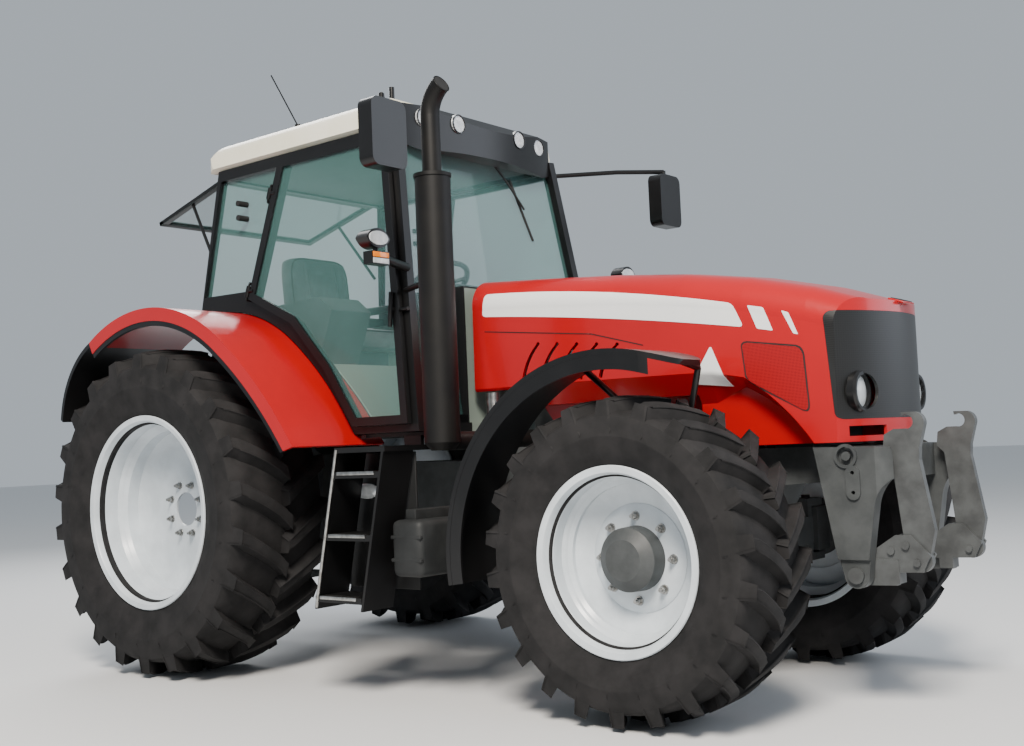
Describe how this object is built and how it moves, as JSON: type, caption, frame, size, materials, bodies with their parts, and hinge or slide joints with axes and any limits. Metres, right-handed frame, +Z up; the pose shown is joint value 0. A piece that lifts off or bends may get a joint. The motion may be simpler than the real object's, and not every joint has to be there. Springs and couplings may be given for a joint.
{
  "type": "farm tractor",
  "caption": "Four-wheel-drive farm tractor with a glazed cab, lifting bonnet, steered front wheels and front and rear three-point linkages.",
  "frame": {"origin": "on the ground below the middle of the tractor's bounding box", "axes": "+X forward, +Y the tractor's left, +Z up"},
  "size_m": [4.893, 2.556, 3.3019],
  "materials": {
    "tyre": "matt black rubber",
    "rim": "satin silver-grey enamel",
    "casting": "satin dark grey casting enamel",
    "steel": "machined steel",
    "core": "matt black",
    "fender_black": "semi-gloss black polymer",
    "red_paint": "gloss red enamel",
    "cab_black": "satin black powder coat",
    "cab_lining": "pale grey-green lining",
    "glass": "green-tinted safety glass",
    "window_glass": "tinted safety glass in a dark frame",
    "cream": "cream gloss moulding",
    "trim_black": "black moulding",
    "lamp": "clear lamp glass",
    "exhaust_black": "heat-proof matt black",
    "steps_black": "black powder coat",
    "box_grey": "dark grey polymer",
    "tank_black": "black rotomoulded polymer",
    "seat_cloth": "dark grey woven cloth",
    "console_grey": "dark grey cab plastic",
    "linkage_grey": "satin grey enamel"
  },
  "bodies": {
    "chassis": {"rear_axle_housing": "casting", "gearbox": "casting", "engine_block": "casting", "drive_shaft": "steel", "radiator_pack": "core", "front_frame": "casting", "front_axle_beam": "casting", "cab_frame": "cab_black", "cab_tub": "cab_lining", "rear_fenders": "red_paint", "fender_edges": "fender_black", "cab_glass": "glass", "rear_window": "window_glass", "roof": "cream", "roof_visor": "trim_black", "roof_lamps": "lamp", "roof_fittings": "trim_black", "exhaust": "exhaust_black", "boarding_steps": "steps_black", "toolbox": "box_grey", "fuel_tank": "tank_black", "mirrors": "trim_black", "side_lamps": "trim_black", "seat": "seat_cloth", "side_console": "console_grey", "dashboard": "console_grey", "rear_hitch": "casting"},
    "rear_right": {"rear_wheel_right": "rim", "rear_tyre_right": "tyre"},
    "rear_left": {"rear_wheel_left": "rim", "rear_tyre_left": "tyre"},
    "steered_right": {"knuckle_right": "casting", "front_fender_right": "fender_black"},
    "steered_left": {"knuckle_left": "casting", "front_fender_left": "fender_black"},
    "front_right": {"front_wheel_right": "rim", "front_hub_right": "casting", "front_tyre_right": "tyre"},
    "front_left": {"front_wheel_left": "rim", "front_hub_left": "casting", "front_tyre_left": "tyre"},
    "door_right": {"door_frame_right": "cab_black", "door_glass_right": "glass"},
    "door_left": {"door_frame_left": "cab_black", "door_glass_left": "glass"},
    "hood": {"bonnet": "red_paint", "nose_grille": "trim_black", "headlamps": "lamp"},
    "front_lift": {"front_lift_arms": "linkage_grey"},
    "hook_right": {"hook_arm_right": "linkage_grey"},
    "hook_left": {"hook_arm_left": "linkage_grey"},
    "rear_lift": {"rear_lift_arms": "linkage_grey"},
    "lower_link_pair": {"lower_links": "linkage_grey"},
    "lift_rod_pair": {"lift_rods": "linkage_grey"}
  },
  "joints": [
    {"name": "rear_right_spin", "type": "hinge", "parent": "chassis", "child": "rear_right", "pos_m": [-1.3905, -0.95, 0.86], "axis": [0, 1, 0], "continuous": true},
    {"name": "rear_left_spin", "type": "hinge", "parent": "chassis", "child": "rear_left", "pos_m": [-1.3905, 0.95, 0.86], "axis": [0, 1, 0], "continuous": true},
    {"name": "steer_right", "type": "hinge", "parent": "chassis", "child": "steered_right", "pos_m": [1.4295, -0.7, 0.655], "axis": [0, 0, 1], "range_deg": [-35, 35]},
    {"name": "steer_left", "type": "hinge", "parent": "chassis", "child": "steered_left", "pos_m": [1.4295, 0.7, 0.655], "axis": [0, 0, 1], "range_deg": [-35, 35]},
    {"name": "front_right_spin", "type": "hinge", "parent": "steered_right", "child": "front_right", "pos_m": [1.4295, -0.81, 0.655], "axis": [0, 1, 0], "continuous": true},
    {"name": "front_left_spin", "type": "hinge", "parent": "steered_left", "child": "front_left", "pos_m": [1.4295, 0.81, 0.655], "axis": [0, 1, 0], "continuous": true},
    {"name": "door_right_hinge", "type": "hinge", "parent": "chassis", "child": "door_right", "pos_m": [-1.05986, -0.75407, 2.01991], "axis": [-0.2711, -0.0872, -0.9586], "range_deg": [0, 75]},
    {"name": "door_left_hinge", "type": "hinge", "parent": "chassis", "child": "door_left", "pos_m": [-1.05986, 0.75407, 2.01991], "axis": [0.2711, -0.0872, 0.9586], "range_deg": [0, 75]},
    {"name": "hood_hinge", "type": "hinge", "parent": "chassis", "child": "hood", "pos_m": [0.2645, 0, 1.905], "axis": [0, -1, 0], "range_deg": [0, 50]},
    {"name": "front_lift_turn", "type": "hinge", "parent": "chassis", "child": "front_lift", "pos_m": [2.1545, 0, 0.56], "axis": [0, 1, 0], "range_deg": [0, 32]},
    {"name": "hook_right_fold", "type": "hinge", "parent": "front_lift", "child": "hook_right", "pos_m": [2.3785, -0.295, 0.609], "axis": [0, 1, 0], "range_deg": [0, 95]},
    {"name": "hook_left_fold", "type": "hinge", "parent": "front_lift", "child": "hook_left", "pos_m": [2.3785, 0.295, 0.609], "axis": [0, 1, 0], "range_deg": [0, 95]},
    {"name": "rear_lift_turn", "type": "hinge", "parent": "chassis", "child": "rear_lift", "pos_m": [-1.5705, 0, 1.13], "axis": [0, 1, 0], "range_deg": [-18, 22]},
    {"name": "lower_link_swing", "type": "hinge", "parent": "chassis", "child": "lower_link_pair", "pos_m": [-1.5805, 0, 0.47], "axis": [0, 1, 0], "range_deg": [-20, 24]},
    {"name": "lift_rod_swing", "type": "hinge", "parent": "rear_lift", "child": "lift_rod_pair", "pos_m": [-1.9205, 0, 1.12], "axis": [0, 1, 0], "range_deg": [-30, 30]}
  ],
  "couplings": [
    {"joint": "steer_left", "follows": "steer_right", "ratio": 1},
    {"joint": "lower_link_swing", "follows": "rear_lift_turn", "ratio": 0.85},
    {"joint": "lift_rod_swing", "follows": "rear_lift_turn", "ratio": -1.03}
  ]
}
